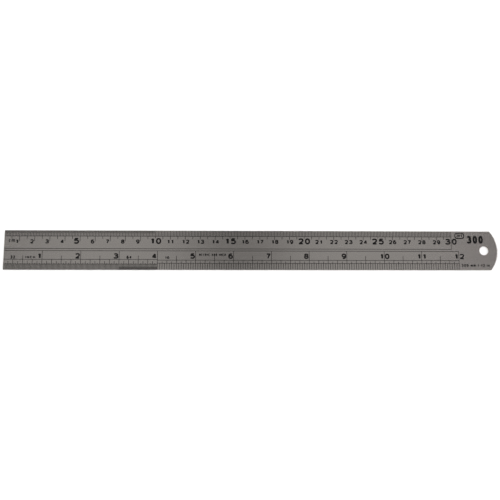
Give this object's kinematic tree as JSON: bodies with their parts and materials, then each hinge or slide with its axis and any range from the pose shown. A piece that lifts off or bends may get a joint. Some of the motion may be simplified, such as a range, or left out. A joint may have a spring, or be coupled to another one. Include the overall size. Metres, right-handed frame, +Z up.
{
  "type": "steel ruler",
  "caption": "Flat stainless steel ruler with engraved metric and inch scales filled in black, a square zero end and a rounded end with a hanging hole.",
  "frame": {"origin": "under the middle of the blade, on the surface that it lies on", "axes": "+X along the blade from the zero end to the hanging end, +Y from the inch edge to the metric edge, +Z up through the marked face"},
  "size_m": [0.3312, 0.0264, 0.001],
  "materials": {
    "blade_steel": "satin stainless steel, finely grained along the blade",
    "scale_enamel": "matt black enamel in the engraved marks"
  },
  "bodies": {
    "root": {"blade": "blade_steel", "metric_graduations": "scale_enamel", "metric_border": "scale_enamel", "inch_graduations_32nds": "scale_enamel", "inch_graduations_64ths": "scale_enamel", "inch_graduations_16ths": "scale_enamel", "inch_quarters_fine": "scale_enamel", "inch_quarters_coarse": "scale_enamel", "inch_border": "scale_enamel"}
  },
  "joints": []
}
